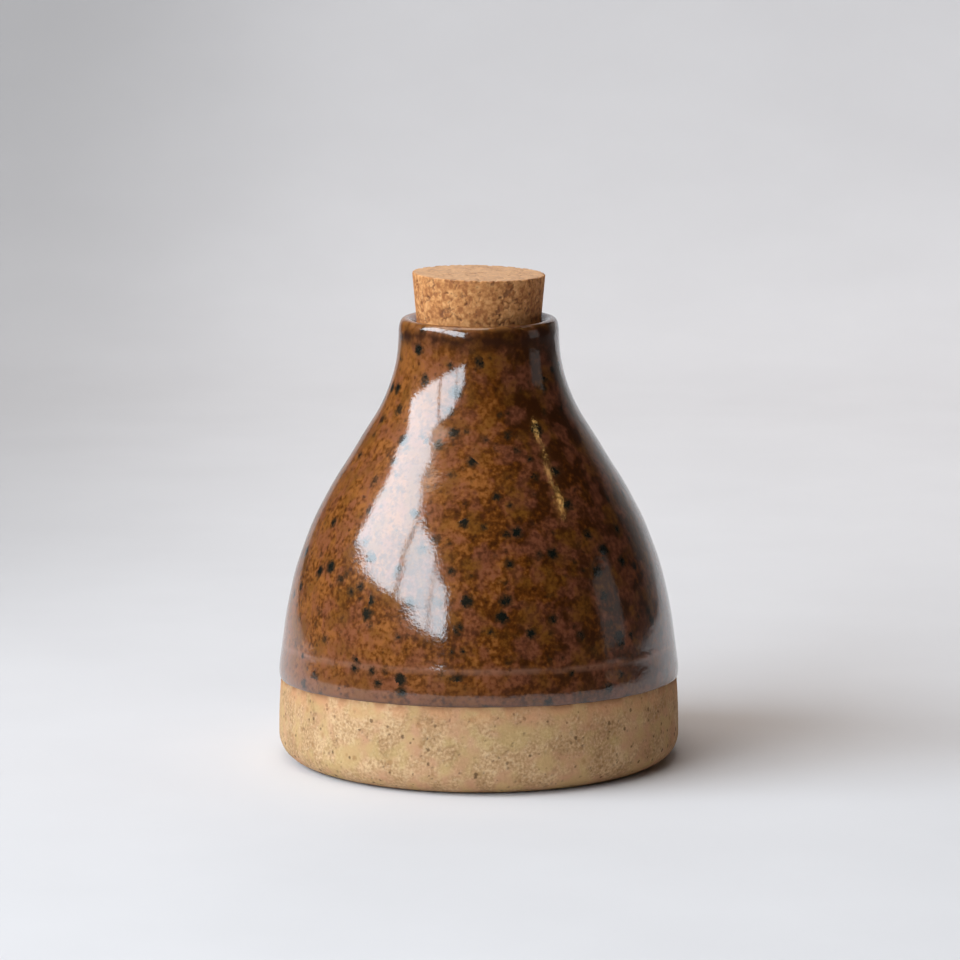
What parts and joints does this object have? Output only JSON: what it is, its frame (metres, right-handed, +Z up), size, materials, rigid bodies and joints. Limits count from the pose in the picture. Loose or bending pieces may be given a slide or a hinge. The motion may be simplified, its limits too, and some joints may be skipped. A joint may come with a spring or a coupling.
{
  "type": "cruet",
  "caption": "Squat round stoneware bottle with a short narrow neck, glazed down to a bare foot band, closed by a tapered cork that pulls straight up.",
  "frame": {"origin": "centre of the foot, on the surface that the bottle stands on", "axes": "+Z up along the axis of the bottle and the cork; -Y is the front, where the edge of the outer glaze is highest; +X is to the right as seen from the front"},
  "size_m": [0.1, 0.1, 0.1214],
  "materials": {
    "bare_clay": "matte, unglazed buff stoneware with fine dark specks",
    "speckled_glaze": "glossy rust-brown glaze with dark iron specks",
    "liner_glaze": "glossy brown liner glaze",
    "cork": "matte glued cork granules"
  },
  "bodies": {
    "bottle": {"stoneware_body": "bare_clay", "outer_glaze": "speckled_glaze", "liner_glaze": "liner_glaze"},
    "stopper": {"cork_stopper": "cork"}
  },
  "joints": [
    {"name": "cork_lift", "type": "slide", "parent": "bottle", "child": "stopper", "axis": [0, 0, 1], "range_m": [0, 0.05]}
  ]
}
